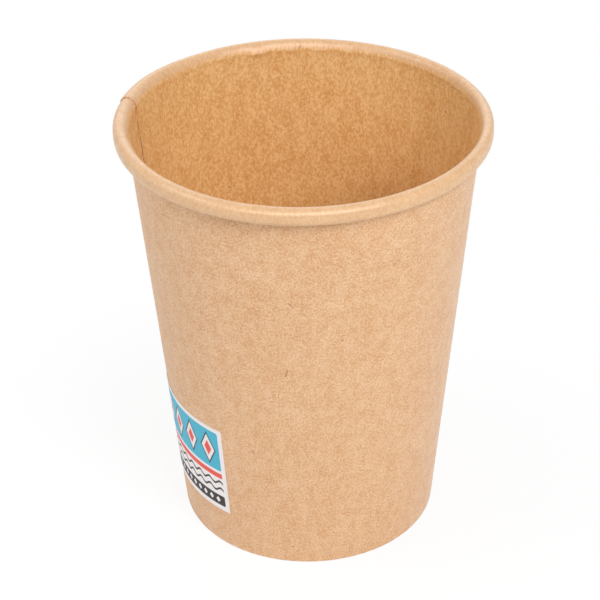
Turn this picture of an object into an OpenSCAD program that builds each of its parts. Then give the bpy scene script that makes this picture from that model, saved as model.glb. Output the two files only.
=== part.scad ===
// Paper hot-drink cup with a rolled rim, a lapped side seam and a recessed bottom.
// Millimetres, +Z up. The origin is on the cup's axis, in the plane that it stands on.
// Angles are seen from above and count from +X towards +Y.

/* [Cup] */
// Outside diameter over the rolled rim
rim_d = 90; // [82:0.5:98]
// Height from the table to the top of the rim
cup_h = 110; // [85:1:160]
// Outside diameter of the foot
foot_d = 65; // [54:0.5:72]
// Thickness of the side wall's paperboard
wall_t = 0.35; // [0.25:0.05:0.45]

/* [Rolled rim] */
// Width of the roll, from the inside of the wall to the outside
roll_w = 3.1; // [3:0.1:4]
// Height of the roll
roll_h = 4.3; // [4.1:0.1:6]
// Clear space between the tucked edge of the paper and the wall
tuck_gap = 0.15; // [0.1:0.05:0.3]
// How far the paper turns on past the underside of the roll, in degrees
tuck_turn = 115; // [60:5:150]

/* [Side seam] */
// Where the inner free edge of the paper lies, in degrees
seam_angle = 166; // [-180:1:180]
// Width of the lap, measured round the foot
seam_lap = 6; // [4:0.5:10]
// How much thinner the pressed lap is than two plies
seam_press = 0.05; // [0.03:0.01:0.1]
// How much the single ply lies short of the faces of the lap and the hem that it runs into
seam_fit = 0.02; // [0.01:0.01:0.02]

/* [Bottom] */
// Thickness of the bottom's paperboard
floor_t = 0.3; // [0.2:0.05:0.4]
// Height of the underside of the bottom above the table
recess_h = 8; // [6:0.5:14]
// Outside radius of the bend between the bottom and its skirt
floor_bend_r = 0.8; // [0.6:0.1:2]
// Height from the top of the folded hem to the start of the bottom's bend
hem_gap = 1.3; // [0.4:0.1:3]
// Inside radius of the folds at the foot
crease_r = 0.05; // [0.03:0.01:0.08]
// Film of sealant between paper faces that are stuck together
seal_gap = 0.03; // [0.02:0.01:0.06]

/* [Label] */
// Width of the label, measured round its lower edge
label_w = 35.8; // [15:0.2:60]
// Height of the label, measured up the slope of the wall
label_h = 27; // [12:0.5:40]
// Height of the label's lower edge above the table
label_z = 11.6; // [6:0.2:30]
// How far the label starts from the inner free edge of the seam, in degrees
label_start = 6; // [2:0.5:60]
// Thickness of the label's paper
label_t = 0.1; // [0.06:0.02:0.2]

/* [Hidden] */
$fn = 96;

kraft = [0.86, 0.68, 0.50];
kraft_inside = [0.80, 0.60, 0.40];
label_white = [0.93, 0.92, 0.91];

// A roll of one ply is two half circles joined by a straight stretch.
foot_r = foot_d / 2;
roll_r = roll_w / 2;
roll_mid_r = rim_d / 2 - roll_r;
roll_top_z = cup_h - roll_r;
roll_low_z = roll_top_z - (roll_h - roll_w);

// Lean of the wall from the vertical. The wall's outside starts at the foot and runs into the
// roll on a tangent, one thickness inside the roll's outline.
reach = norm([roll_mid_r - foot_r, roll_top_z]);
rise = atan2(roll_top_z, roll_mid_r - foot_r);
lean = acos((roll_r - wall_t) / reach) - rise;

// The lap, and what level cuts through the leaning paper measure
lap_t = 2 * wall_t - seam_press;
ply_x = wall_t / cos(lean);
slot_x = (floor_t + 2 * seal_gap) / cos(lean);
gap_x = seal_gap / cos(lean);
lap_turn = seam_lap / foot_r * 180 / PI;
floor_top_z = recess_h + floor_t;
bend_z = floor_top_z - floor_bend_r;
hem_top_z = bend_z - hem_gap;

// The sheet is a spiral of two half turns about two axes. The second axis stands off the cup's
// own, so that the outer end of the sheet comes to lie over the inner end.
outer_end_x = (lap_t - wall_t) / cos(lean) - seam_fit;
axis_off = outer_end_x / 2;

// Unit vector at an angle, and the points of an arc
function dir(a) = [cos(a), sin(a)];
function arc(middle, r, from, to, steps) =
    [for (i = [0:steps]) middle + r * dir(from + (to - from) * i / steps)];
function backwards(path) = [for (i = [len(path) - 1:-1:0]) path[i]];

// Radius of the wall's outside and inside at height z
function out_r(z) = foot_r + z * tan(lean);
function in_r(z) = out_r(z) - ply_x;

// Middles of the bends, for paper of thickness t, which is one ply or the lap. The paper's
// inner face stays where it is, and what the lap is thicker than one ply goes outwards.
function fold_z(t) = t + crease_r;
function hem_x(z, t) = in_r(z) - slot_x - t / cos(lean);
function outer_fold(t) =
    [in_r(fold_z(t)) + (t - fold_z(t)) / cos(lean), fold_z(t)];
function inner_fold(t) =
    [hem_x(fold_z(t), t) + fold_z(t) / cos(lean), fold_z(t)];
function turned_r(t) = roll_r + t - wall_t;
function roll_x(t) = roll_mid_r + (t - wall_t) / cos(lean);
function tuck_r(t) =
    ((roll_mid_r - foot_r) * cos(lean) - (roll_low_z - turned_r(t)) * sin(lean) - tuck_gap)
    / (1 + sin(lean));

// The line that lies at depth d below the paper's inner face, from the top of the hem down,
// through the two folds of the foot
function foot_line(t, d) = concat(
    [[hem_x(hem_top_z, t) + (t - d) / cos(lean), hem_top_z]],
    arc(inner_fold(t), crease_r + d, 180 - lean, 270, 3),
    arc(outer_fold(t), crease_r + d, 270, 360 - lean, 3)
);

// The same line on the roll: over the top, down the outside, under, and up beside the wall
function roll_line(t, d) = concat(
    arc([roll_x(t), roll_top_z], turned_r(t) - d, 180 - lean, 0, 14),
    arc([roll_x(t), roll_low_z], turned_r(t) - d, 0, -90, 7),
    arc([roll_x(t), roll_low_z - turned_r(t) + tuck_r(t)], tuck_r(t) - d, -90, -90 - tuck_turn, 8)
);

// The whole section of the sheet. The straight stretches are what joins the bends.
module sheet_section(t) {
    polygon(concat(
        foot_line(t, 0),
        roll_line(t, 0),
        backwards(roll_line(t, t)),
        backwards(foot_line(t, t))
    ));
}

// The section of the ply that eases outwards, from its fold at the foot to its tucked edge
module eased_section() {
    polygon(concat(
        arc(outer_fold(wall_t), crease_r, 270, 360 - lean, 3),
        roll_line(wall_t, 0),
        backwards(roll_line(wall_t, wall_t)),
        backwards(arc(outer_fold(wall_t), fold_z(wall_t), 270, 360 - lean, 3))
    ));
}

// The section of its hem, which doesn't ease, with what seals the bottom's skirt to the wall
module sealed_section() {
    polygon([
        [hem_x(hem_top_z, wall_t) + ply_x, hem_top_z],
        each arc(inner_fold(wall_t), crease_r, 180 - lean, 270, 3),
        [in_r(wall_t) - seam_fit, wall_t],
        [in_r(floor_top_z) - seam_fit, floor_top_z],
        [out_r(floor_top_z) - seam_fit, floor_top_z],
        [out_r(fold_z(wall_t)) - seam_fit, fold_z(wall_t)],
        [outer_fold(wall_t)[0], 0],
        each backwards(arc(inner_fold(wall_t), fold_z(wall_t), 180 - lean, 270, 3)),
        [hem_x(hem_top_z, wall_t), hem_top_z]
    ]);
}

// Turns what it is given about the axis of the half turn that eases outwards
module about_second_axis(start, turn) {
    translate([axis_off, 0, 0])
        rotate_extrude(angle = turn, start = start)
            translate([axis_off, 0])
                children();
}

// One sheet of board: it goes once round and laps over itself. Its upper edge is rolled
// outwards and its lower edge is folded in and up.
module side_wall() {
    color(kraft)
        rotate(seam_angle) {
            rotate_extrude(angle = 180 - lap_turn, start = 180)
                sheet_section(wall_t);
            rotate_extrude(angle = lap_turn, start = 360 - lap_turn)
                sheet_section(lap_t);
            about_second_axis(0, 180)
                eased_section();
            rotate_extrude(angle = 180, start = 0)
                sealed_section();
        }
}

// One disc of board, its edge turned down as a skirt between the wall and the hem
module bottom_disc() {
    bend_x = in_r(bend_z) - gap_x - floor_bend_r / cos(lean);
    skirt_z = lap_t + seal_gap;
    skirt_x = in_r(skirt_z) - gap_x;
    color(kraft_inside)
        rotate_extrude()
            polygon([
                [0, floor_top_z],
                each arc([bend_x, bend_z], floor_bend_r, 90, -lean, 6),
                [skirt_x, skirt_z],
                [skirt_x - floor_t / cos(lean), skirt_z],
                each arc([bend_x, bend_z], floor_bend_r - floor_t, -lean, 90, 6),
                [0, recess_h]
            ]);
}

// A thin paper label, stuck on the outside of the ply that eases outwards
module label() {
    low_r = out_r(label_z);
    top_z = label_z + label_h * cos(lean);
    top_r = out_r(top_z);
    paper_x = gap_x + label_t / cos(lean);
    color(label_white)
        rotate(seam_angle)
            about_second_axis(label_start, label_w / low_r * 180 / PI)
                polygon([
                    [low_r + gap_x, label_z],
                    [low_r + paper_x, label_z],
                    [top_r + paper_x, top_z],
                    [top_r + gap_x, top_z]
                ]);
}

side_wall();
bottom_disc();
label();
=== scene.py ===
# %% [markdown]
# # A rolled-rim paper cup in kraft board
#
# A single-wall hot-drink cup is three things: one sheet of board wrapped into a cone, a bottom
# disc with its edge turned down, and here a small paper label. This script dresses the exact
# model of that cup. Each piece is built point by point, because thin board shows its thickness
# at every cut edge, and a thickened cylinder would have neither the lap nor the roll.

from math import acos, atan2, cos, degrees, dist, hypot, pi, radians, sin, tan

import bpy
from mathutils import Matrix, Vector


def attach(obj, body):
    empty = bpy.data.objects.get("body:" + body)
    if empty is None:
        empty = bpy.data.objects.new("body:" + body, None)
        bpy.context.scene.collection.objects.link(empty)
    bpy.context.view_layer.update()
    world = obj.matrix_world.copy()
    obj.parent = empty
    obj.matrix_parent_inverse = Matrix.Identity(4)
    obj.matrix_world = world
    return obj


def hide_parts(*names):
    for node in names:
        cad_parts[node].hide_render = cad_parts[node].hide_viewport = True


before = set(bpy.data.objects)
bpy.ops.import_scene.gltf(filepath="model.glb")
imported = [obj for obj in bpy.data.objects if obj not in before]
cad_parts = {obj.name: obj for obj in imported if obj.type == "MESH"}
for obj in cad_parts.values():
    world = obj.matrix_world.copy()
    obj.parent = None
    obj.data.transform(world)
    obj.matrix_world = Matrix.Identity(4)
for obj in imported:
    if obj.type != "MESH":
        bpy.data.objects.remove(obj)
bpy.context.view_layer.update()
print("nodes in the frame:", sorted(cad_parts))

# %% [markdown]
# ## The sizes of the cup
#
# These are the same measures, in millimetres, that the exact model was drawn with. Blender works
# in metres here, so points are scaled once, when a mesh is made.

# %% Sizes of the cup
MM = 0.001
RIM_D = 90.0
CUP_H = 110.0
FOOT_D = 65.0
WALL_T = 0.35
ROLL_W = 3.1
ROLL_H = 4.3
TUCK_GAP = 0.15
TUCK_TURN = 115.0
SEAM_ANGLE = 166.0
SEAM_LAP = 6.0
LAP_T = 0.65
FLOOR_T = 0.3
RECESS_H = 8.0
FLOOR_BEND_R = 0.8
HEM_GAP = 1.3
CREASE_R = 0.05
SEAL_GAP = 0.03

FOOT_R = FOOT_D / 2
ROLL_R = ROLL_W / 2
ROLL_MID_R = RIM_D / 2 - ROLL_R
ROLL_TOP_Z = CUP_H - ROLL_R
ROLL_LOW_Z = ROLL_TOP_Z - (ROLL_H - ROLL_W)
REACH = hypot(ROLL_MID_R - FOOT_R, ROLL_TOP_Z)
RISE = atan2(ROLL_TOP_Z, ROLL_MID_R - FOOT_R)
LEAN = acos((ROLL_R - WALL_T) / REACH) - RISE
LEAN_DEG = degrees(LEAN)
PLY_X = WALL_T / cos(LEAN)
SLOT_X = (FLOOR_T + 2 * SEAL_GAP) / cos(LEAN)
LAP_TURN = degrees(SEAM_LAP / FOOT_R)
BEND_Z = RECESS_H + FLOOR_T - FLOOR_BEND_R
HEM_TOP_Z = BEND_Z - HEM_GAP
print("lean of the wall, degrees:", round(LEAN_DEG, 3))
print("the lap turns through, degrees:", round(LAP_TURN, 2))

# %% [markdown]
# ## Drawing the board in section
#
# Cut the cup from rim to foot and the board shows as one line: up inside the foot as a hem,
# folded under, up the leaning wall, over the roll and back under it to its tucked edge. Most of it
# is arcs and straight stretches, so these come first.

# %% Arcs and straight stretches
def arc(middle, radius, start, end, steps):
    """Points on an arc, from one angle to another in degrees."""
    points = []
    for step in range(steps + 1):
        angle = radians(start + (end - start) * step / steps)
        points.append((middle[0] + radius * cos(angle), middle[1] + radius * sin(angle)))
    return points


def between(first, last, steps):
    """The points that lie between two points, without the two."""
    points = []
    for step in range(1, steps):
        share = step / steps
        points.append((first[0] + (last[0] - first[0]) * share,
                       first[1] + (last[1] - first[1]) * share))
    return points


def in_r(z):
    """Radius of the wall's inner face at a height."""
    return FOOT_R + z * tan(LEAN) - PLY_X


print("inner radius at the foot, mm:", round(in_r(0), 2))

# %% [markdown]
# ## The bow and the crease
#
# Board doesn't start a roll softly. It bows in a little, breaks over a crisp crease, and only then
# runs round. That crease is the sharp line that every paper cup shows inside its rim. An arc
# can't break away sharply and arrive flat, so a Bezier curve with two handles draws this stretch.

# %% From the bow to the top of the roll
BOW_STEPS = 6
QUARTER_STEPS = 14
BOW_Z = 105.8
CREASE_Z = 107.9
CREASE_IN = 0.14
CREASE_TILT = radians(74)
CREASE_PULL = 1.35
TOP_PULL = 1.0
CROWD_TO_CREASE = 1.3


def inner_quarter(total, crease_z, crease_in):
    """The inner face from the bow, over the crease, to just before the top of the roll."""
    points = []
    for step in range(BOW_STEPS):
        share = step / BOW_STEPS
        z = BOW_Z + (crease_z - BOW_Z) * share
        points.append((in_r(z) - crease_in * share * share, z))
    top_x = ROLL_MID_R + (total - WALL_T) / cos(LEAN)
    top_z = ROLL_TOP_Z + ROLL_R + total - WALL_T
    start_x = in_r(crease_z) - crease_in
    pull_x = start_x + CREASE_PULL * cos(CREASE_TILT)
    pull_z = crease_z + CREASE_PULL * sin(CREASE_TILT)
    for step in range(QUARTER_STEPS):
        t = (step / QUARTER_STEPS) ** CROWD_TO_CREASE
        s = 1 - t
        x = s ** 3 * start_x + 3 * s * s * t * pull_x + 3 * s * t * t * (top_x - TOP_PULL)
        z = s ** 3 * crease_z + 3 * s * s * t * pull_z + (3 * s * t * t + t ** 3) * top_z
        points.append((x + t ** 3 * top_x, z))
    return points


print("the roll starts below its top by, mm:", round(CUP_H - CREASE_Z, 2))

# %% [markdown]
# ## The whole section
#
# One function gives the section at any depth in the paper. The inner face is depth 0 and the
# outer face is one thickness deeper, so both faces come from one drawing.

# %% The section line
HEM_STEPS = 4
FOLD_STEPS = 6
WALL_STEPS = 24
ROLL_STEPS = (12, 10, 9)


def sunk(line, depth):
    """A line moved into the paper by a depth, square to itself at each point."""
    moved = []
    for i, (x, z) in enumerate(line):
        before, after = line[max(i - 1, 0)], line[min(i + 1, len(line) - 1)]
        run_x, run_z = after[0] - before[0], after[1] - before[1]
        scale = depth / hypot(run_x, run_z)
        moved.append((x + run_z * scale, z - run_x * scale))
    return moved


def section_line(total, depth, crease_z=CREASE_Z, crease_in=CREASE_IN):
    """The line at a depth below the inner face, where the paper is this thick in total."""
    fold_z = total + CREASE_R
    hem_shift = SLOT_X + total / cos(LEAN)
    hem_top = (in_r(HEM_TOP_Z) - hem_shift + (total - depth) / cos(LEAN), HEM_TOP_Z)
    inner_fold = (in_r(fold_z) - hem_shift + fold_z / cos(LEAN), fold_z)
    outer_fold = (in_r(fold_z) + (total - fold_z) / cos(LEAN), fold_z)
    hem_bend = arc(inner_fold, CREASE_R + depth, 180 - LEAN_DEG, 270, FOLD_STEPS)
    wall_bend = arc(outer_fold, CREASE_R + depth, 270, 360 - LEAN_DEG, FOLD_STEPS)
    turned_r = ROLL_R + total - WALL_T
    roll_x = ROLL_MID_R + (total - WALL_T) / cos(LEAN)
    slack = (ROLL_MID_R - FOOT_R) * cos(LEAN) - (ROLL_LOW_Z - turned_r) * sin(LEAN)
    tuck_r = (slack - TUCK_GAP) / (1 + sin(LEAN))
    over = sunk(inner_quarter(total, crease_z, crease_in), depth)
    over += arc((roll_x, ROLL_TOP_Z), turned_r - depth, 90, 0, ROLL_STEPS[0])
    under = arc((roll_x, ROLL_LOW_Z), turned_r - depth, 0, -90, ROLL_STEPS[1])
    tuck_middle = (roll_x, ROLL_LOW_Z - turned_r + tuck_r)
    tuck = arc(tuck_middle, tuck_r - depth, -90, -90 - TUCK_TURN, ROLL_STEPS[2])
    line = [hem_top] + between(hem_top, hem_bend[0], HEM_STEPS) + hem_bend + wall_bend
    line += between(wall_bend[-1], over[0], WALL_STEPS) + over + under + tuck[1:]
    return line


nominal = section_line(WALL_T, 0)
CREASE_POINT = HEM_STEPS + 2 * (FOLD_STEPS + 1) + WALL_STEPS - 1 + BOW_STEPS
print("points along the section:", len(nominal))
print("the crease is point", CREASE_POINT, "at height", round(nominal[CREASE_POINT][1], 2))

# %% [markdown]
# ## How the sheet goes round
#
# The sheet starts at its outer free edge, goes once round, and ends inside its own start. For each
# angle along it, three numbers place the paper: how thick the stack is, how deep this ply lies in
# it, and how thick the ply is. The lap is pressed hot, so each ply is a little thinner there.

# %% The ply at each angle
PRESSED_T = 0.32
PLY_DEPTH = LAP_T - PRESSED_T
EASE_TURN = 40.0
STEP_TURN = 3.5
LIFT_TURN = 30.0


def smooth(x):
    """0 below 0, 1 above 1, and a soft curve between."""
    x = min(1.0, max(0.0, x))
    return x * x * (3 - 2 * x)


def ply_at(turn):
    """(stack, depth, thickness) in mm; the turn counts from the inner free edge in degrees."""
    if turn < 0:
        return LAP_T, PLY_DEPTH, PRESSED_T
    if turn < 180:
        depth = PLY_DEPTH * (1 - smooth(turn / EASE_TURN))
        thick = WALL_T + (PRESSED_T - WALL_T) * (1 - smooth(turn / STEP_TURN))
        return depth + thick, depth, thick
    lift = smooth((turn - (360 - LAP_TURN - LIFT_TURN)) / LIFT_TURN)
    return WALL_T + (LAP_T - WALL_T) * lift, 0.0, WALL_T + (PRESSED_T - WALL_T) * lift


print("one ply in the lap lies deeper by, mm:", round(PLY_DEPTH, 2))

# %% [markdown]
# ## Columns where they are needed
#
# A mesh needs many columns only where the shape changes fast: at the step of the lap, and at the
# back, where the crease wanders. Elsewhere wider columns look the same.

# %% Columns round the sheet
BACK_FROM = 66.0
BACK_TO = 112.0
FINE_STEP = 0.35
COARSE_STEP = 1.15


def spaced_turns(fine_from, fine_to):
    """Turns from one free edge to the other, closer together in one range and at the lap."""
    spaced = []
    turn = -LAP_TURN
    while turn < 360 - 1e-6:
        spaced.append(turn)
        close = fine_from <= turn < fine_to or turn > 360 - LAP_TURN - STEP_TURN - 1
        turn += FINE_STEP if close else COARSE_STEP
    return spaced + [360.0]


turns = spaced_turns(360 + BACK_FROM - SEAM_ANGLE, 360 + BACK_TO - SEAM_ANGLE)
print("columns round the sheet:", len(turns))

# %% [markdown]
# ## A real cup isn't quite round
#
# Board springs back after it is wrapped, so the mouth is slightly out of round, while the bottom
# disc keeps the foot true. Two low waves round the rim, faded out towards the foot, give that. The
# roll is a little wider on one side, and the sheet is wrapped a degree askew at the top.

# %% Out of round
OVAL = ((2, 0.17, -0.14), (3, 0.13, 0.19))
ROLL_WIDER = 0.16
ASKEW = -1.0


def oval_at(angle, z):
    """How far the wall stands out from round, in mm."""
    a = radians(angle)
    wave = 0.0
    for count, by_cos, by_sin in OVAL:
        wave += by_cos * cos(count * a) + by_sin * sin(count * a)
    fade = min(1.0, max(0.0, (z - RECESS_H) / (ROLL_TOP_Z - RECESS_H)))
    return wave * fade


def cup_point(angle, radius, z):
    """A point of the section at its place on the cup, in metres."""
    on_roll = min(1.0, max(0.0, (radius - in_r(CREASE_Z)) / (2 * ROLL_R)))
    a = radians(angle + ASKEW * (z / CUP_H) ** 2)
    r = radius + oval_at(angle, z) + ROLL_WIDER * (1 - cos(a)) * on_roll
    return (r * cos(a) * MM, r * sin(a) * MM, z * MM)


print("out of round at the left, mm:", round(oval_at(180, ROLL_TOP_Z), 2))

# %% [markdown]
# ## The crease wanders
#
# The crease under the roll is never a true circle. At the back it dips and rises, and in one place
# the board has buckled inwards, with a nick beside it. Next to the seam it stands in further.
# Each mark is a soft bump between two angles, added to a few fine waves.

# %% The crease at each angle
# Each mark: its size in mm, then its start, its end and its two soft shoulders in degrees.
BACK_WAVE = (0.26, 66, 95, 4, 4)
BY_THE_SEAM = (0.3, 165, 195, 12, 12)
NICK = (-0.15, 90.4, 91.3, 0.6, 0.6)
BUCKLE_DOWN = (-0.42, 101, 108, 5, 0.5)
BUCKLE_IN = (0.36, 101, 108, 5, 0.5)
BACK_CREST = 89
BACK_CRESTS = 33


def mark_at(angle, size, start, end, rise, fall):
    """What a mark adds at an angle, in mm."""
    return size * (smooth((angle - start) / rise) * (1 - smooth((angle - end) / fall)))


def wave_at(angle, size, count, start=0):
    """A wave round the cup, in mm, with this many crests."""
    return size * sin(radians(angle * count + start))


def crease_at(angle):
    """Height and inward bulge of the crease at an angle, in mm."""
    a = angle % 360
    height = CREASE_Z + wave_at(a, 0.05, 7) + wave_at(a, 0.03, 23)
    height += mark_at(a, *BACK_WAVE) * cos(radians((a - BACK_CREST) * BACK_CRESTS))
    inward = CREASE_IN + wave_at(a, 0.03, 11, 50) + mark_at(a, *BY_THE_SEAM)
    return height + mark_at(a, *BUCKLE_DOWN), inward + mark_at(a, *BUCKLE_IN) + mark_at(a, *NICK)


print("the crease at its buckle (height, inward), mm:", [round(v, 2) for v in crease_at(107)])

# %% [markdown]
# ## Paper that knows its own place
#
# Print, grain and fibres lie on the flat sheet before it is wrapped. Each point therefore keeps
# its place on that sheet, in millimetres: across, along, and how far it is on the roll. The
# materials read this from an attribute, so their pattern follows the board round every bend.

# %% Turn lines of points into a sheet
MEAN_R = (FOOT_R + RIM_D / 2) / 2
SHARP_TURN = radians(50)
INSIDE, OUTSIDE, CUT = 0, 1, 2


def path_lengths(line):
    """Length along a line of points, at each point."""
    lengths = [0.0]
    for before, here in zip(line, line[1:]):
        lengths.append(lengths[-1] + dist(before, here))
    return lengths


def finish_of(k, count):
    """The finish of a ring's k-th face, when each side of the paper has count points."""
    if k < count - 1:
        return INSIDE
    return CUT if k in (count - 1, 2 * count - 1) else OUTSIDE


def add_object(name, data):
    """Puts a mesh, a lamp or a camera into the scene."""
    thing = bpy.data.objects.new(name, data)
    bpy.context.scene.collection.objects.link(thing)
    return thing


def new_piece(name, points, faces, slots, materials, places):
    """A mesh object from points and faces, with a material for each face and sheet places."""
    mesh = bpy.data.meshes.new(name)
    mesh.from_pydata(points, [], faces)
    for material in materials:
        mesh.materials.append(material)
    mesh.polygons.foreach_set("material_index", slots)
    held = mesh.attributes.new("sheet_place", "FLOAT_VECTOR", "POINT")
    held.data.foreach_set("vector", [number for place in places for number in place])
    mesh.shade_smooth()
    mesh.set_sharp_from_angle(angle=SHARP_TURN)
    mesh.validate()
    mesh.update()
    piece = add_object(name, mesh)
    print(name, "has", len(points), "points and", len(faces), "faces")
    return piece


print("the sheet is laid out at a radius of, mm:", MEAN_R)

# %% [markdown]
# ## Small helpers for node materials
#
# A material is a chain of nodes. These helpers only save typing: they add a node and fill its
# inputs, do arithmetic, mix two things, or read the place on the sheet.

# %% Node helpers
def fill(tree, socket, value):
    """Gives a socket a fixed value, or links it to another node's output."""
    if isinstance(value, bpy.types.NodeSocket):
        tree.links.new(value, socket)
    else:
        socket.default_value = value


def add_node(tree, kind, settings=None, **inputs):
    """Adds a node. Settings are its options; inputs are values or outputs of other nodes."""
    node = tree.nodes.new("ShaderNode" + kind)
    for name, value in (settings or {}).items():
        setattr(node, name, value)
    for name, value in inputs.items():
        fill(tree, node.inputs[name.replace("_", " ")], value)
    return node


def fill_row(tree, node, *values):
    """Fills a node's inputs in their order, and gives its outputs."""
    for socket, value in zip(node.inputs, values):
        fill(tree, socket, value)
    return node.outputs


def maths(tree, operation, *values):
    """One step of arithmetic, as a node."""
    return fill_row(tree, add_node(tree, "Math", {"operation": operation}), *values)[0]


def vector_maths(tree, operation, *values):
    """One step of arithmetic on places, as a node."""
    return fill_row(tree, add_node(tree, "VectorMath", {"operation": operation}), *values)


def length_of(tree, x, y):
    """Length of the step (x, y)."""
    squares = [maths(tree, "POWER", value, 2.0) for value in (x, y)]
    return maths(tree, "SQRT", maths(tree, "ADD", *squares))


def times(tree, value, factor):
    """A value times a factor."""
    return maths(tree, "MULTIPLY", value, factor)


def soft_step(tree, value, start, end, low=0.0, high=1.0):
    """Low before the start, high after the end, and a soft curve between."""
    node = add_node(tree, "MapRange", {"interpolation_type": "SMOOTHSTEP"})
    return fill_row(tree, node, value, start, end, low, high)[0]


def mix_value(tree, share, first, second):
    """Mixes two values by a share from 0 to 1."""
    node = add_node(tree, "Mix", {"data_type": "FLOAT"}, Factor=share, A=first, B=second)
    return node.outputs["Result"]


def mix_colour(tree, share, first, second):
    """Mixes two colours by a share. The Mix node keeps its colour sockets at 6, 7 and 2."""
    node = add_node(tree, "Mix", {"data_type": "RGBA"})
    fill(tree, node.inputs[0], share)
    fill(tree, node.inputs[6], first)
    fill(tree, node.inputs[7], second)
    return node.outputs[2]


def new_material(name):
    """A new material, its tree of nodes and its shader."""
    material = bpy.data.materials.new(name)
    material.use_nodes = True
    tree = material.node_tree
    return material, tree, tree.nodes["Principled BSDF"]


def sheet_place(tree):
    """The place on the flat sheet that each point of a piece carries, in mm."""
    return add_node(tree, "Attribute", {"attribute_name": "sheet_place"}).outputs["Vector"]


print("node helpers are ready")

# %% [markdown]
# ## Groups
#
# An effect that several materials share is a node group: built once, then placed in each material
# with its own values. All groups here take a place on the sheet and some values, so one helper
# declares their sockets from names and defaults.

# %% Group helpers
def new_group(name, outputs, **values):
    """A node group that takes a place and these values, and gives outputs of these names."""
    tree = bpy.data.node_groups.new(name, "ShaderNodeTree")
    tree.interface.new_socket("Place", in_out="INPUT", socket_type="NodeSocketVector")
    for title, value in values.items():
        socket = tree.interface.new_socket(title.replace("_", " "), in_out="INPUT",
                                           socket_type="NodeSocketFloat")
        socket.default_value = value
    for title in outputs:
        tree.interface.new_socket(title, in_out="OUTPUT", socket_type="NodeSocketFloat")
    start = tree.nodes.new("NodeGroupInput")
    end = tree.nodes.new("NodeGroupOutput")
    return tree, start.outputs, end.inputs


def place_group(tree, group, **inputs):
    """Puts a node group into a material and gives its outputs."""
    node = tree.nodes.new("ShaderNodeGroup")
    node.node_tree = group
    for name, value in inputs.items():
        fill(tree, node.inputs[name.replace("_", " ")], value)
    return node.outputs


print("group helpers are ready")

# %% [markdown]
# ## Clouds in the pulp
#
# Hold board to the light and it is cloudy: fibres clump as the sheet drains. Two noises give
# this, one for clumps of a few millimetres and one for the grain of single fibres. Stretching the
# place before the noise draws the clouds out into streaks, which the inside of the cup has.

# %% Group: pulp clouds
CLOUD_LOW = 0.38
CLOUD_HIGH = 0.62


def build_clouds():
    """Cloudy tone from 0 to 1 and a height, from a place on the sheet in mm."""
    tree, given, made = new_group("pulp_clouds", ["Tone", "Height"], Clump_Size=2.4,
                                  Grain_Size=0.46, Stretch=1.0, Grain_Share=0.73, Shift=0.0)
    parts = add_node(tree, "SeparateXYZ", Vector=given["Place"]).outputs
    across = maths(tree, "ADD", parts["X"], given["Shift"])
    along = maths(tree, "DIVIDE", parts["Y"], given["Stretch"])
    place = add_node(tree, "CombineXYZ", X=across, Y=along, Z=given["Shift"]).outputs[0]
    clumps = add_node(tree, "TexNoise", {"noise_dimensions": "3D"}, Vector=place,
                      Scale=maths(tree, "DIVIDE", 1.0, given["Clump Size"]), Detail=3.0,
                      Roughness=0.55, Distortion=0.4).outputs["Fac"]
    grain = add_node(tree, "TexNoise", {"noise_dimensions": "3D"}, Vector=place,
                     Scale=maths(tree, "DIVIDE", 1.0, given["Grain Size"]), Detail=2.0,
                     Roughness=0.6).outputs["Fac"]
    mixed = mix_value(tree, given["Grain Share"], clumps, grain)
    fill(tree, made["Tone"], soft_step(tree, mixed, CLOUD_LOW, CLOUD_HIGH))
    fill(tree, made["Height"], grain)
    return tree


pulp_clouds = build_clouds()
print("group made:", pulp_clouds.name)

# %% [markdown]
# ## Single fibres
#
# A few fibres are darker or paler than the rest and show as short bent lines. Each cell of a
# Voronoi pattern may hold one: the cell's random colour gives its angle, its length and whether
# it is there at all. The same group, with other values, makes flecks and faint pale fibres too.

# %% Group: loose fibres
def thin_line(tree, x, y, half, width):
    """1 on a thin line of this half length, and 0 off it, from distances to its middle."""
    past_end = maths(tree, "MAXIMUM", maths(tree, "SUBTRACT", x, half), 0.0)
    edge = maths(tree, "DIVIDE", length_of(tree, past_end, y), width)
    return soft_step(tree, edge, 0.25, 0.75, 1.0, 0.0)


def build_fibres():
    """A mask of short bent lines, one at most in each cell of the sheet."""
    tree, given, made = new_group(
        "loose_fibres", ["Mask"], Cell_Size=6.0, Length=1.6, Width=0.16, Share=0.2, Shift=0.0)
    offset = add_node(tree, "CombineXYZ", X=given["Shift"], Y=given["Shift"]).outputs[0]
    shifted = vector_maths(tree, "ADD", given["Place"], offset)[0]
    bend = add_node(tree, "TexNoise", {"noise_dimensions": "2D"}, Vector=shifted, Scale=0.5,
                    Detail=0.0).outputs["Color"]
    bent = vector_maths(tree, "MULTIPLY_ADD", bend, (1.1, 1.1, 0.0), shifted)[0]
    size = add_node(tree, "CombineXYZ", X=given["Cell Size"], Y=given["Cell Size"], Z=1.0)
    in_cells = vector_maths(tree, "DIVIDE", bent, size.outputs[0])[0]
    cells = add_node(tree, "TexVoronoi", {"voronoi_dimensions": "2D"}, Vector=in_cells, Scale=1.0)
    chance = add_node(tree, "SeparateColor", Color=cells.outputs["Color"]).outputs
    away = vector_maths(tree, "SUBTRACT", in_cells, cells.outputs["Position"])[0]
    turned = add_node(tree, "VectorRotate", {"rotation_type": "Z_AXIS"}, Vector=away,
                      Angle=times(tree, chance["Red"], 6.283))
    spot = add_node(tree, "SeparateXYZ", Vector=turned.outputs[0]).outputs
    x, y = [times(tree, maths(tree, "ABSOLUTE", spot[axis]), given["Cell Size"]) for axis in "XY"]
    half = times(tree, given["Length"], maths(tree, "MULTIPLY_ADD", chance["Green"], 0.4, 0.25))
    line = thin_line(tree, x, y, half, given["Width"])
    there = maths(tree, "LESS_THAN", chance["Blue"], given["Share"])
    fill(tree, made["Mask"], times(tree, line, there))
    return tree


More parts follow.
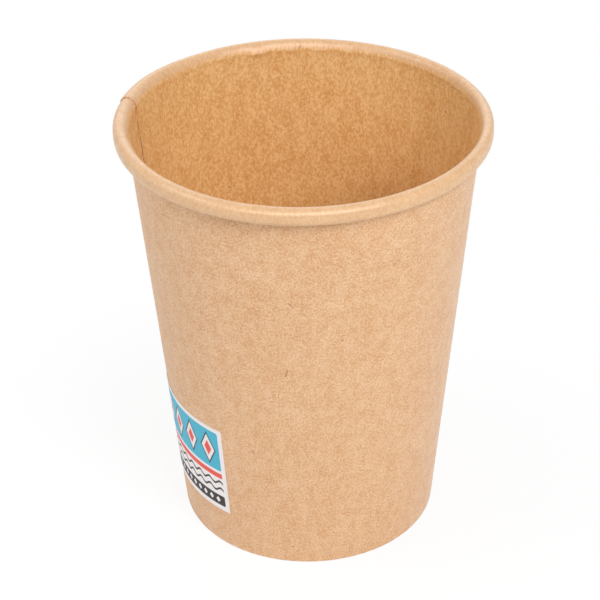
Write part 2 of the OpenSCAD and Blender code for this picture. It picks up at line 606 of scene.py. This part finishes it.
loose_fibres = build_fibres()
print("group made:", loose_fibres.name)

# %% [markdown]
# ## One fibre in a known place
#
# The eye remembers a cup's few long dark fibres. Chance doesn't put them in their places, so a
# second group draws one line at a given place, turn and length.

# %% Group: one fibre
def build_one_fibre():
    """A mask of one short line, with its middle, its turn in degrees and its length in mm."""
    tree, given, made = new_group(
        "one_fibre", ["Mask"], Middle_X=0.0, Middle_Y=0.0, Turn=0.0, Length=1.5, Width=0.2)
    middle = add_node(tree, "CombineXYZ", X=given["Middle X"], Y=given["Middle Y"]).outputs[0]
    away = vector_maths(tree, "SUBTRACT", given["Place"], middle)[0]
    turned = add_node(tree, "VectorRotate", {"rotation_type": "Z_AXIS"}, Vector=away,
                      Angle=maths(tree, "RADIANS", times(tree, given["Turn"], -1.0)))
    spot = add_node(tree, "SeparateXYZ", Vector=turned.outputs[0]).outputs
    x = maths(tree, "ABSOLUTE", spot["X"])
    half = times(tree, given["Length"], 0.5)
    fill(tree, made["Mask"], thin_line(tree, x, spot["Y"], half, given["Width"]))
    return tree


one_fibre = build_one_fibre()
print("group made:", one_fibre.name)

# %% [markdown]
# ## Creases across the roll
#
# Curling squeezes the board's edge to a smaller turn than it had, so fine creases run across the
# roll. A noise that is very long along the section and short round the rim gives them.

# %% Group: curl creases
CREASE_SLIMNESS = 9.0


def build_creases():
    """Height of fine creases across the roll, from 0 to 1."""
    tree, given, made = new_group("curl_creases", ["Height"], Spacing=0.7)
    parts = add_node(tree, "SeparateXYZ", Vector=given["Place"]).outputs
    across = maths(tree, "DIVIDE", parts["X"], given["Spacing"])
    along = maths(tree, "DIVIDE", parts["Y"], times(tree, given["Spacing"], CREASE_SLIMNESS))
    place = add_node(tree, "CombineXYZ", X=across, Y=along).outputs[0]
    noise = add_node(tree, "TexNoise", {"noise_dimensions": "2D"}, Vector=place, Scale=1.0,
                     Detail=1.0).outputs["Fac"]
    fill(tree, made["Height"], times(tree, noise, parts["Z"]))
    return tree


curl_creases = build_creases()
print("group made:", curl_creases.name)

# %% [markdown]
# ## Fibres over a tone
#
# Board gets its life from layers: a fine net of deep and bright fibres, a few long dark ones, and
# marks in known places. Each layer is a mask that mixes a tint into the colour below.

# %% Lay fibres over a colour
# Each layer: its tint, cell size, length, width, share of the cells, shift and strength.
FIBRE_LAYERS = (("deep", 1.0, 0.6, 0.16, 0.6, 3.0, 0.4),
                ("bright", 1.1, 0.6, 0.16, 0.6, 17.0, 0.35),
                ("deep", 3.1, 1.3, 0.18, 0.6, 29.0, 0.35),
                ("bright", 0.85, 0.4, 0.16, 0.6, 43.0, 0.3),
                ("dark", 17.0, 1.7, 0.22, 0.14, 51.0, 0.5))


def on_sheet(angle, z):
    """Where a spot of the wall, at an angle and a height, lies on the flat sheet."""
    turn = (angle - SEAM_ANGLE) % 360
    hem = dist(nominal[0], nominal[HEM_STEPS])
    bends = 2 * pi * CREASE_R
    return radians(turn) * MEAN_R, hem + bends + z / cos(LEAN)


def lay_fibres(tree, place, colour, tints, shift):
    """Mixes every layer of fibres into a colour."""
    for tint, cell, length, width, share, move, strength in FIBRE_LAYERS:
        lines = place_group(tree, loose_fibres, Place=place, Cell_Size=cell, Length=length,
                            Width=width, Share=share, Shift=shift + move)["Mask"]
        colour = mix_colour(tree, times(tree, lines, strength), colour, tints[tint])
    return colour


def lay_marks(tree, place, colour, dark, marks):
    """Mixes in dark marks in known places: fibres, and one stroke at the nick under the roll."""
    for angle, z, turn, length, width, strength in marks:
        middle_x, middle_y = on_sheet(angle, z)
        line = place_group(tree, one_fibre, Place=place, Middle_X=middle_x, Middle_Y=middle_y,
                           Turn=turn, Length=length, Width=width)["Mask"]
        colour = mix_colour(tree, times(tree, line, strength), colour, dark)
    return colour


print("fibre layers:", len(FIBRE_LAYERS))

# %% [markdown]
# ## Kraft board
#
# All faces of the board are one recipe: clouds tint a pale and a deep kraft, fibres are laid over,
# and a bump gives the tooth of the paper. The film inside adds gloss on top of that recipe. It
# shines most on the roll, where it was heated, and the curl's fine creases show in it. There a
# greyer colour is also mixed in as painted sheen, for the film's pale gloss.

# %% Board recipe
TOOTH = 0.00006


def add_bump(tree, shader, height, strength, distance):
    """Adds relief to a shader, on top of the relief that it has."""
    node = add_node(tree, "Bump", Height=height, Strength=strength, Distance=distance)
    under = shader.inputs["Normal"].links
    if under:
        fill(tree, node.inputs["Normal"], under[0].from_socket)
    fill(tree, shader.inputs["Normal"], node.outputs["Normal"])


def board(name, pale, deep, fibre, roughness, shift, stretch, bump, specular, marks=()):
    """A material for kraft board. The colours are linear RGB."""
    material, tree, shader = new_material(name)
    place = sheet_place(tree)
    clouds = place_group(tree, pulp_clouds, Place=place, Stretch=stretch, Shift=shift)
    broad = place_group(tree, pulp_clouds, Place=place, Clump_Size=8.0, Grain_Size=3.0,
                        Stretch=stretch * 1.6, Shift=shift + 31.0, Grain_Share=0.5)
    tone = mix_value(tree, 0.2, clouds["Tone"], broad["Tone"])
    colour = mix_colour(tree, tone, deep + (1,), pale + (1,))
    tints = {"deep": (deep[0] * 0.92, deep[1] * 0.74, deep[2] * 0.55, 1),
             "bright": (min(1.0, pale[0] * 1.08), min(1.0, pale[1] * 1.2), pale[2] * 1.4, 1),
             "dark": fibre + (1,)}
    colour = lay_fibres(tree, place, colour, tints, shift)
    colour = lay_marks(tree, place, colour, tints["dark"], marks)
    fill(tree, shader.inputs["Base Color"], colour)
    add_bump(tree, shader, clouds["Height"], bump, TOOTH)
    rough = soft_step(tree, clouds["Tone"], 0.0, 1.0, roughness + 0.04, roughness - 0.04)
    fill(tree, shader.inputs["Roughness"], rough)
    shader.inputs["Specular IOR Level"].default_value = specular
    return material


def film_and_painted_sheen_on_roll(material, painted_sheen):
    """The film shines, most on the roll, where a greyer colour is also mixed in as painted sheen.
    """
    tree = material.node_tree
    shader = tree.nodes["Principled BSDF"]
    place = sheet_place(tree)
    on_roll = add_node(tree, "SeparateXYZ", Vector=place).outputs["Z"]
    colour = shader.inputs["Base Color"].links[0].from_socket
    # Painted sheen: on the roll the colour is mixed towards a greyer tint that stands in for the
    # pale gloss.
    paler = mix_colour(tree, times(tree, on_roll, 0.6), colour, painted_sheen + (1,))
    fill(tree, shader.inputs["Base Color"], paler)
    creases = place_group(tree, curl_creases, Place=place)["Height"]
    add_bump(tree, shader, creases, 0.5, TOOTH)
    fill(tree, shader.inputs["Coat Weight"], soft_step(tree, on_roll, 0.0, 1.0, 0.12, 0.62))
    shader.inputs["Coat Roughness"].default_value = 0.28


print("tooth of the board, mm:", round(TOOTH / MM, 3))

# %% [markdown]
# ## Three finishes
#
# Outside, the board is bare and matt. Inside, the film that keeps the drink in makes it smoother
# and deeper in colour. A cut edge shows loose pulp and is rougher. It is darker partly as pulp
# and partly as painted shade, for the thin shadow line along the step of the lap.

# %% The three board finishes
# Each mark: angle and height on the cup, turn of the line, its length, width and strength.
OUTSIDE_MARKS = ((-94.8, 81.9, -45, 1.5, 0.26, 0.8), (-97.2, 61.6, 72, 2.0, 0.28, 0.85),
                 (-77.5, 70.8, -40, 0.4, 0.3, 0.8), (-112.2, 35.3, 60, 1.2, 0.24, 0.6),
                 (-97.4, 5.0, 35, 0.7, 0.28, 0.8), (-90.6, 79.3, -42, 1.9, 0.22, 0.4))
# The last inside mark is a dark stroke at the nick beside the buckle, under the roll.
INSIDE_MARKS = ((121.1, 72.2, 20, 0.3, 0.36, 0.8), (31.4, 99.7, 80, 0.4, 0.34, 0.8),
                (114.4, 99.6, 14, 2.2, 0.22, 0.28), (91.95, 108.2, 130, 0.6, 0.34, 1.0))

kraft_outside = board("kraft_outside", pale=(0.75, 0.508, 0.303), deep=(0.60, 0.30, 0.13),
                      fibre=(0.38, 0.11, 0.05), roughness=0.82, shift=0.0, stretch=1.2,
                      bump=0.5, specular=0.25, marks=OUTSIDE_MARKS)
kraft_outside.node_tree.nodes["Principled BSDF"].inputs["Sheen Weight"].default_value = 0.3
kraft_inside = board("kraft_inside_film", pale=(0.85, 0.56, 0.26), deep=(0.67, 0.335, 0.105),
                     fibre=(0.34, 0.10, 0.04), roughness=0.5, shift=140.0, stretch=2.0,
                     bump=0.4, specular=0.25, marks=INSIDE_MARKS)
# The roll's second colour is painted sheen, the film's pale gloss given as colour.
film_and_painted_sheen_on_roll(kraft_inside, painted_sheen=(0.63, 0.40, 0.25))
# Partly painted shade: the cut edge is darkened for the shadow line along the lap's step.
kraft_cut = board("kraft_cut_edge_and_shade", pale=(0.72, 0.45, 0.27), deep=(0.42, 0.22, 0.13),
                  fibre=(0.20, 0.08, 0.05), roughness=0.9, shift=77.0, stretch=1.0,
                  bump=0.5, specular=0.2)
board_finishes = [kraft_inside, kraft_outside, kraft_cut]
print("finishes:", [finish.name for finish in board_finishes])

# %% [markdown]
# ## The side wall
#
# The wall is one closed skin round the paper: the inner face, the tucked edge, the outer face and
# the top of the hem, with a cut end at each free edge. Going round as a spiral lets the two ends
# pass each other, so the lap is a real step, inside and outside, up the wall and over the roll.

# %% Build the side wall
KNURLS = 64
KNURL_DEPTH = 0.045
FILM_POINTS = 6


def hem_press(index, angle):
    """The roller that closes the foot leaves fine ribs on the hem, in mm."""
    if index == 0 or index >= HEM_STEPS:
        return 0.0
    rib = sin(radians(angle * KNURLS))
    return KNURL_DEPTH * rib * sin(pi * index / HEM_STEPS)


def build_side_wall():
    """The wrapped sheet: one ring of points for each column, joined to the next."""
    lengths = path_lengths(nominal)
    count = len(nominal)
    points, places = [], []
    for turn in turns:
        angle = SEAM_ANGLE + turn
        stack, depth, thick = ply_at(turn)
        across = radians(turn) * MEAN_R
        crease_z, crease_in = crease_at(angle + ASKEW)
        inner = section_line(stack, depth, crease_z, crease_in)
        outer = section_line(stack, depth + thick, crease_z, crease_in)
        ring = [(i, inner[i], 0.0) for i in range(count)]
        ring += [(i, outer[i], 1.0) for i in reversed(range(count))]
        for index, (radius, z), side in ring:
            radius -= side * hem_press(index, angle)
            points.append(cup_point(angle, radius, z))
            on_roll = min(1.0, max(0.0, (index - CREASE_POINT) / FILM_POINTS))
            places.append((across, lengths[index], on_roll))
    around = 2 * count
    faces, slots = [], []
    for column in range(len(turns) - 1):
        for k in range(around):
            after = (k + 1) % around
            a, b = column * around + k, column * around + after
            faces.append((a, b, b + around, a + around))
            slots.append(finish_of(k, count))
    last = (len(turns) - 1) * around
    for k in range(count - 1):
        twin = around - 1 - k
        faces.append((k + 1, k, twin, twin - 1))
        faces.append((last + k, last + k + 1, last + twin - 1, last + twin))
        slots += [CUT, CUT]
    return new_piece("side_wall_sheet", points, faces, slots, board_finishes, places)


side_wall = build_side_wall()
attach(side_wall, "root")
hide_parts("side_wall")

# %% [markdown]
# ## The bottom
#
# The bottom is a disc of thinner board, pressed down at its edge into a skirt that the hem
# clamps. It isn't dead flat: drying draws it into a very shallow dome. A revolved section with
# that dome in it, cut into many rings, is all it needs.

# %% Build the bottom
BOTTOM_COLUMNS = 144
DISC_RINGS = 22
SKIRT_STEPS = 6
DOME = 0.22
BOTTOM_SHEET_X = 400.0


def bottom_lines():
    """The upper and the lower line of the disc, from its middle to the skirt's cut edge."""
    gap_x = SEAL_GAP / cos(LEAN)
    bend_x = in_r(BEND_Z) - gap_x - FLOOR_BEND_R / cos(LEAN)
    skirt_z = LAP_T + SEAL_GAP
    skirt_x = in_r(skirt_z) - gap_x
    lines = []
    for inset, z in ((0.0, RECESS_H + FLOOR_T), (FLOOR_T, RECESS_H)):
        flat = []
        for ring in range(1, DISC_RINGS):
            share = ring / DISC_RINGS
            flat.append((bend_x * share, z - DOME * (1 - share * share) ** 2))
        bend = arc((bend_x, BEND_Z), FLOOR_BEND_R - inset, 90, -LEAN_DEG, SKIRT_STEPS)
        end = (skirt_x - inset / cos(LEAN), skirt_z)
        lines.append(flat + bend + between(bend[-1], end, SKIRT_STEPS) + [end])
    return lines


def build_bottom():
    """The disc and its skirt, turned round the axis and closed with a fan at each face."""
    upper, lower = bottom_lines()
    ring = upper + lower[::-1]
    count, around = len(upper), len(ring)
    points, places = [], []
    lengths = path_lengths(upper)
    for column in range(BOTTOM_COLUMNS):
        a = radians(360.0 * column / BOTTOM_COLUMNS)
        for index, (radius, z) in enumerate(ring):
            points.append((radius * cos(a) * MM, radius * sin(a) * MM, z * MM))
            out = upper[0][0] + lengths[min(index, around - 1 - index)]
            places.append((out * cos(a) + BOTTOM_SHEET_X, out * sin(a), 0.0))
    faces, slots = [], []
    for column in range(BOTTOM_COLUMNS):
        here, there = column * around, (column + 1) % BOTTOM_COLUMNS * around
        for k in range(around - 1):
            faces.append((here + k, here + k + 1, there + k + 1, there + k))
            slots.append(finish_of(k, count))
    for index, z, slot in ((0, RECESS_H + FLOOR_T - DOME, INSIDE),
                           (around - 1, RECESS_H - DOME, OUTSIDE)):
        middle = len(points)
        points.append((0, 0, z * MM))
        places.append((BOTTOM_SHEET_X, 0.0, 0.0))
        for column in range(BOTTOM_COLUMNS):
            here = column * around + index
            there = (column + 1) % BOTTOM_COLUMNS * around + index
            faces.append((middle, here, there) if slot == INSIDE else (middle, there, here))
            slots.append(slot)
    return new_piece("bottom_board", points, faces, slots, board_finishes, places)


bottom = build_bottom()
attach(bottom, "root")
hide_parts("bottom_disc")

# %% [markdown]
# ## Shapes for print
#
# Print is flat ink, so it needs no geometry. Each shape is a mask worked out from the place on
# the label in millimetres: a box with round corners, a wavy line and a row of diamonds.

# %% Groups: shapes for print
SOFT = 0.07
CENTRE = {"Centre_X": 0.0, "Centre_Y": 0.0}


def ink(tree, distance):
    """1 inside a shape and 0 outside it, from the distance to its edge in mm."""
    return soft_step(tree, distance, -SOFT, SOFT, 1.0, 0.0)


def past(tree, value, limit):
    """How far a distance, of either sign, lies past a limit."""
    return maths(tree, "SUBTRACT", maths(tree, "ABSOLUTE", value), limit)


def from_centre(tree, given):
    """Distances across and up from the shape's centre."""
    parts = add_node(tree, "SeparateXYZ", Vector=given["Place"]).outputs
    return [maths(tree, "SUBTRACT", parts[axis], given["Centre " + axis]) for axis in "XY"]


def build_box():
    """A box with round corners."""
    tree, given, made = new_group(
        "print_box", ["Mask"], **CENTRE, Half_Width=5.0, Half_Height=5.0, Corner=1.0)
    sides = []
    for value, half in zip(from_centre(tree, given), ("Half Width", "Half Height")):
        sides.append(maths(tree, "ADD", past(tree, value, given[half]), given["Corner"]))
    corner = length_of(tree, *[maths(tree, "MAXIMUM", side, 0.0) for side in sides])
    inside = maths(tree, "MINIMUM", maths(tree, "MAXIMUM", *sides), 0.0)
    distance = maths(tree, "SUBTRACT", maths(tree, "ADD", corner, inside), given["Corner"])
    fill(tree, made["Mask"], ink(tree, distance))
    return tree


def build_wave():
    """A wavy line that ends at its reach."""
    tree, given, made = new_group(
        "print_wave", ["Mask"], **CENTRE, Reach=5.0, Swing=0.5, Turns_per_mm=2.0, Half_Width=0.25)
    x, y = from_centre(tree, given)
    swing = times(tree, given["Swing"], maths(tree, "SINE", times(tree, x, given["Turns per mm"])))
    line = ink(tree, past(tree, maths(tree, "SUBTRACT", y, swing), given["Half Width"]))
    ends = ink(tree, past(tree, x, given["Reach"]))
    fill(tree, made["Mask"], times(tree, line, ends))
    return tree


def build_diamonds():
    """A row of diamonds that ends at its reach."""
    tree, given, made = new_group(
        "print_diamonds", ["Mask"], **CENTRE, Reach=5.0, Pitch=1.6, Half_Width=0.5, Half_Height=0.8)
    x, y = from_centre(tree, given)
    nearest = maths(tree, "ROUND", maths(tree, "DIVIDE", x, given["Pitch"]))
    in_pitch = maths(tree, "SUBTRACT", x, times(tree, given["Pitch"], nearest))
    across = maths(tree, "DIVIDE", maths(tree, "ABSOLUTE", in_pitch), given["Half Width"])
    up = maths(tree, "DIVIDE", maths(tree, "ABSOLUTE", y), given["Half Height"])
    out = maths(tree, "SUBTRACT", maths(tree, "ADD", across, up), 1.0)
    side = length_of(tree, given["Half Width"], given["Half Height"])
    area = times(tree, given["Half Width"], given["Half Height"])
    shape = ink(tree, times(tree, out, maths(tree, "DIVIDE", area, side)))
    ends = ink(tree, past(tree, x, given["Reach"]))
    fill(tree, made["Mask"], times(tree, shape, ends))
    return tree


print_box = build_box()
print_wave = build_wave()
print_diamonds = build_diamonds()
print("print shapes:", print_box.name, print_wave.name, print_diamonds.name)

# %% [markdown]
# ## The label's paper and print
#
# A stock cup gets its small print on a label stuck low on the wall. It is smooth white paper a
# tenth of a millimetre thick, with flat ink in bands across its whole width: a blue frieze with
# lozenges, a coral stripe, two wavy lines, and at the foot a dark stripe with white studs.

# %% Label paper and its print
LABEL_W = 35.8
LABEL_H = 27.0
LABEL_Z = 11.6
LABEL_START = 6.0
LABEL_T = 0.1

PAPER_WHITE = (0.84, 0.80, 0.80, 1)
PAPER_DUST = (0.62, 0.60, 0.60, 1)
SKY_BLUE = (0.055, 0.45, 0.62, 1)
CORAL = (0.82, 0.085, 0.065, 1)
INK_DARK = (0.025, 0.02, 0.02, 1)

PAPER_MARGIN = 1.2
PAPER_TOOTH = 0.00003
MIDDLE_X = LABEL_W / 2
PRINT_HALF = MIDDLE_X - PAPER_MARGIN
FRIEZE_Y = 19.6
LOZENGE_PITCH = 6.5
STRIPE_Y = 11.7
WAVES_Y = (9.2, 6.9)
STUDS_Y = 3.2


def label_paper():
    """White paper with its print, laid on from the widest field to the smallest mark."""
    material, tree, shader = new_material("label_paper_print")
    place = sheet_place(tree)

    def over(colour, group, paint, y, **sizes):
        """Prints one shape, centred across the label, over what is there."""
        mask = place_group(tree, group, Place=place, Centre_X=MIDDLE_X, Centre_Y=y, **sizes)["Mask"]
        return mix_colour(tree, mask, colour, paint)

    colour = over(PAPER_WHITE, print_box, SKY_BLUE, FRIEZE_Y, Half_Width=PRINT_HALF,
                  Half_Height=6.2, Corner=0.6)
    for paint, half in ((INK_DARK, 2.6), (PAPER_WHITE, 2.2), (CORAL, 1.2)):
        colour = over(colour, print_diamonds, paint, FRIEZE_Y, Reach=PRINT_HALF,
                      Pitch=LOZENGE_PITCH, Half_Width=half, Half_Height=2 * half)
    colour = over(colour, print_box, CORAL, STRIPE_Y, Half_Width=PRINT_HALF, Half_Height=0.8,
                  Corner=0.2)
    for line_y in WAVES_Y:
        colour = over(colour, print_wave, INK_DARK, line_y, Reach=PRINT_HALF, Swing=0.55,
                      Turns_per_mm=1.7, Half_Width=0.34)
    colour = over(colour, print_box, INK_DARK, STUDS_Y, Half_Width=PRINT_HALF, Half_Height=1.7,
                  Corner=0.3)
    colour = over(colour, print_diamonds, PAPER_WHITE, STUDS_Y, Reach=15.3, Pitch=2.4,
                  Half_Width=0.75, Half_Height=0.95)
    grain = place_group(tree, pulp_clouds, Place=place, Clump_Size=1.2, Grain_Size=0.3, Shift=9.0)
    dusty = mix_colour(tree, times(tree, grain["Tone"], 0.07), colour, PAPER_DUST)
    fill(tree, shader.inputs["Base Color"], dusty)
    add_bump(tree, shader, grain["Height"], 0.25, PAPER_TOOTH)
    shader.inputs["Roughness"].default_value = 0.5
    shader.inputs["Specular IOR Level"].default_value = 0.18
    return material


label_print = label_paper()
print("label material:", label_print.name)

# %% [markdown]
# ## The label
#
# The label is a sheet of two faces and four cut edges, a film of glue away from the wall. It is
# laid over the same cup points, so it keeps to the wall where that is out of round.

# %% Build the label
LABEL_COLUMNS = 90
LABEL_ROWS = 48


def build_label():
    """The label: two faces, and a strip along each of its four edges."""
    turn_all = degrees(LABEL_W / (FOOT_R + LABEL_Z * tan(LEAN)))
    points, places = [], []
    for side in (0, 1):
        lift = (SEAL_GAP + side * LABEL_T) / cos(LEAN)
        for column in range(LABEL_COLUMNS + 1):
            across = column / LABEL_COLUMNS
            turn = LABEL_START + turn_all * across
            depth, thick = ply_at(turn)[1:]
            for row in range(LABEL_ROWS + 1):
                up = row / LABEL_ROWS
                z = LABEL_Z + LABEL_H * up * cos(LEAN)
                wall_r = in_r(z) + (depth + thick) / cos(LEAN)
                points.append(cup_point(SEAM_ANGLE + turn, wall_r + lift, z))
                places.append((LABEL_W * across, LABEL_H * up, 0.0))
    rows = LABEL_ROWS + 1
    side_count = (LABEL_COLUMNS + 1) * rows
    faces = []
    for column in range(LABEL_COLUMNS):
        for row in range(LABEL_ROWS):
            a = column * rows + row
            faces.append((a, a + 1, a + rows + 1, a + rows))
            b = a + side_count
            faces.append((b, b + rows, b + rows + 1, b + 1))
    for column in range(LABEL_COLUMNS):
        for a, down in ((column * rows, True), (column * rows + LABEL_ROWS, False)):
            face = (a, a + rows, a + rows + side_count, a + side_count)
            faces.append(face if down else face[::-1])
    for row in range(LABEL_ROWS):
        for a, left in ((row, True), (LABEL_COLUMNS * rows + row, False)):
            face = (a, a + side_count, a + side_count + 1, a + 1)
            faces.append(face if left else face[::-1])
    return new_piece("label_sheet", points, faces, [0] * len(faces), [label_print], places)


label = build_label()
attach(label, "root")
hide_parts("label")

# %% [markdown]
# ## The floor
#
# The cup stands on a pale table. The camera sees it nearly pure white, and the light finds white
# paper that throws some of it back on the cup. Near the cup part of the real floor stays in view,
# with the soft shadow at the foot. Further off it fades to pure white, so no horizon shows. Gloss
# mirrors that white too, which gives the roll its soft pale edge.

# %% Floor
FLOOR_HALF = 3.0
FLOOR_DROP = 0.00002
FLOOR_GLOW = 0.88
FADE_FROM = 0.045
FADE_TO = 0.12
TABLE_PALE = (0.94, 0.94, 0.94, 1)


def ray_share(tree):
    """1 for rays that see the surround directly, in a mirror or through glass."""
    path = add_node(tree, "LightPath").outputs
    seen = maths(tree, "MAXIMUM", path["Is Camera Ray"], path["Is Glossy Ray"])
    return maths(tree, "MAXIMUM", seen, path["Is Transmission Ray"])


def floor_finish():
    """White paper under the light, mixed with a white glow for the rays that see it."""
    material, tree, shader = new_material("pale_table")
    tree.nodes.remove(shader)
    paper = add_node(tree, "BsdfDiffuse", Color=TABLE_PALE)
    glow = add_node(tree, "Emission")
    spot = add_node(tree, "TexCoord").outputs["Object"]
    away = vector_maths(tree, "LENGTH", spot)["Value"]
    near = soft_step(tree, away, FADE_FROM, FADE_TO, FLOOR_GLOW, 1.0)
    share = times(tree, ray_share(tree), near)
    finishes = paper.outputs[0], glow.outputs[0]
    mixed = fill_row(tree, add_node(tree, "MixShader"), share, *finishes)
    fill(tree, tree.nodes["Material Output"].inputs["Surface"], mixed[0])
    return material


floor_mesh = bpy.data.meshes.new("floor")
corners = [(FLOOR_HALF * x, FLOOR_HALF * y, 0) for x, y in ((-1, -1), (1, -1), (1, 1), (-1, 1))]
floor_mesh.from_pydata(corners, [], [(0, 1, 2, 3)])
floor_mesh.materials.append(floor_finish())
floor = add_object("floor", floor_mesh)
floor.location.z = -FLOOR_DROP
print("floor is", 2 * FLOOR_HALF, "m across")

# %% [markdown]
# ## The white room
#
# The world round the cup does the same as the floor. Rays that see it find pure white, and as a
# light it is much weaker, so it fills the shadows without flattening the cup.

# %% World
WORLD_LIGHT = 0.42
world = bpy.data.worlds.new("white_surround")
bpy.context.scene.world = world
world.use_nodes = True
sky = world.node_tree
level = mix_value(sky, ray_share(sky), WORLD_LIGHT, 1.0)
sky.nodes["Background"].inputs["Color"].default_value = (1, 1, 1, 1)
fill(sky, sky.nodes["Background"].inputs["Strength"], level)
print("light from the surround:", WORLD_LIGHT)

# %% [markdown]
# ## Lamps
#
# The key softbox stands in front on the right, about as high as it is far away. It shapes the wall,
# reaches down the back of the inside and throws the short shadow under the roll. A weaker one
# fills the left, and a wide one behind catches the top of the roll.
#
# A lamp can be hidden from one kind of ray. The key is hidden from gloss, where it would show as a
# hot spot. In its place a wide window in front, which only gloss sees, is mirrored by the film as
# one long soft band round the roll.

# %% Softboxes
CUP_MIDDLE = Vector((0, 0, 0.06))


def softbox(name, place, width, height, power):
    """A rectangular area lamp that faces the cup, in metres and watts."""
    lamp = bpy.data.lights.new(name, "AREA")
    lamp.shape = "RECTANGLE"
    lamp.size = width
    lamp.size_y = height
    lamp.energy = power
    holder = add_object(name, lamp)
    holder.location = place
    holder.rotation_euler = (CUP_MIDDLE - Vector(place)).to_track_quat("-Z", "Y").to_euler()
    return holder


key = softbox("key_softbox", (0.45, -0.77, 0.92), width=0.5, height=0.5, power=9.8)
key.visible_glossy = False
softbox("fill_softbox", (-0.9, -0.15, 0.82), width=0.7, height=0.7, power=4.4)
softbox("back_softbox", (0.0, 1.15, 0.7), width=1.4, height=0.5, power=3.0)
window = softbox("gloss_window", (0.15, -1.25, 0.82), width=2.2, height=0.75, power=28.0)
window.visible_diffuse = False
print("three softboxes and a window are set")

# %% [markdown]
# ## Camera
#
# The camera looks down into the cup from in front with a long lens, so the mouth shows as a full
# ellipse and the foot as a narrower one. Three turns aim it: down, a touch aside and a slight roll.

# %% Camera
CAMERA_PLACE = (0, -0.4245, 0.3291)
LENS_MM = 119.9
SENSOR_MM = 36
PITCH = radians(32.54)
YAW = radians(-0.22)
ROLL = radians(-1.04)
ahead = Vector((sin(YAW) * cos(PITCH), cos(YAW) * cos(PITCH), -sin(PITCH)))
level_right = Vector((cos(YAW), -sin(YAW), 0))
level_up = level_right.cross(ahead)
right = cos(ROLL) * level_right + sin(ROLL) * level_up
up = cos(ROLL) * level_up - sin(ROLL) * level_right
turned = Matrix((right, up, -ahead)).transposed().to_4x4()
lens = bpy.data.cameras.new("long_lens")
lens.sensor_width = SENSOR_MM
lens.lens = LENS_MM
lens.dof.use_dof = False
camera = add_object("camera", lens)
camera.matrix_world = Matrix.Translation(CAMERA_PLACE) @ turned
bpy.context.scene.camera = camera
bpy.context.scene.view_settings.view_transform = "Standard"
print("the camera stands at", [round(v, 3) for v in camera.location])
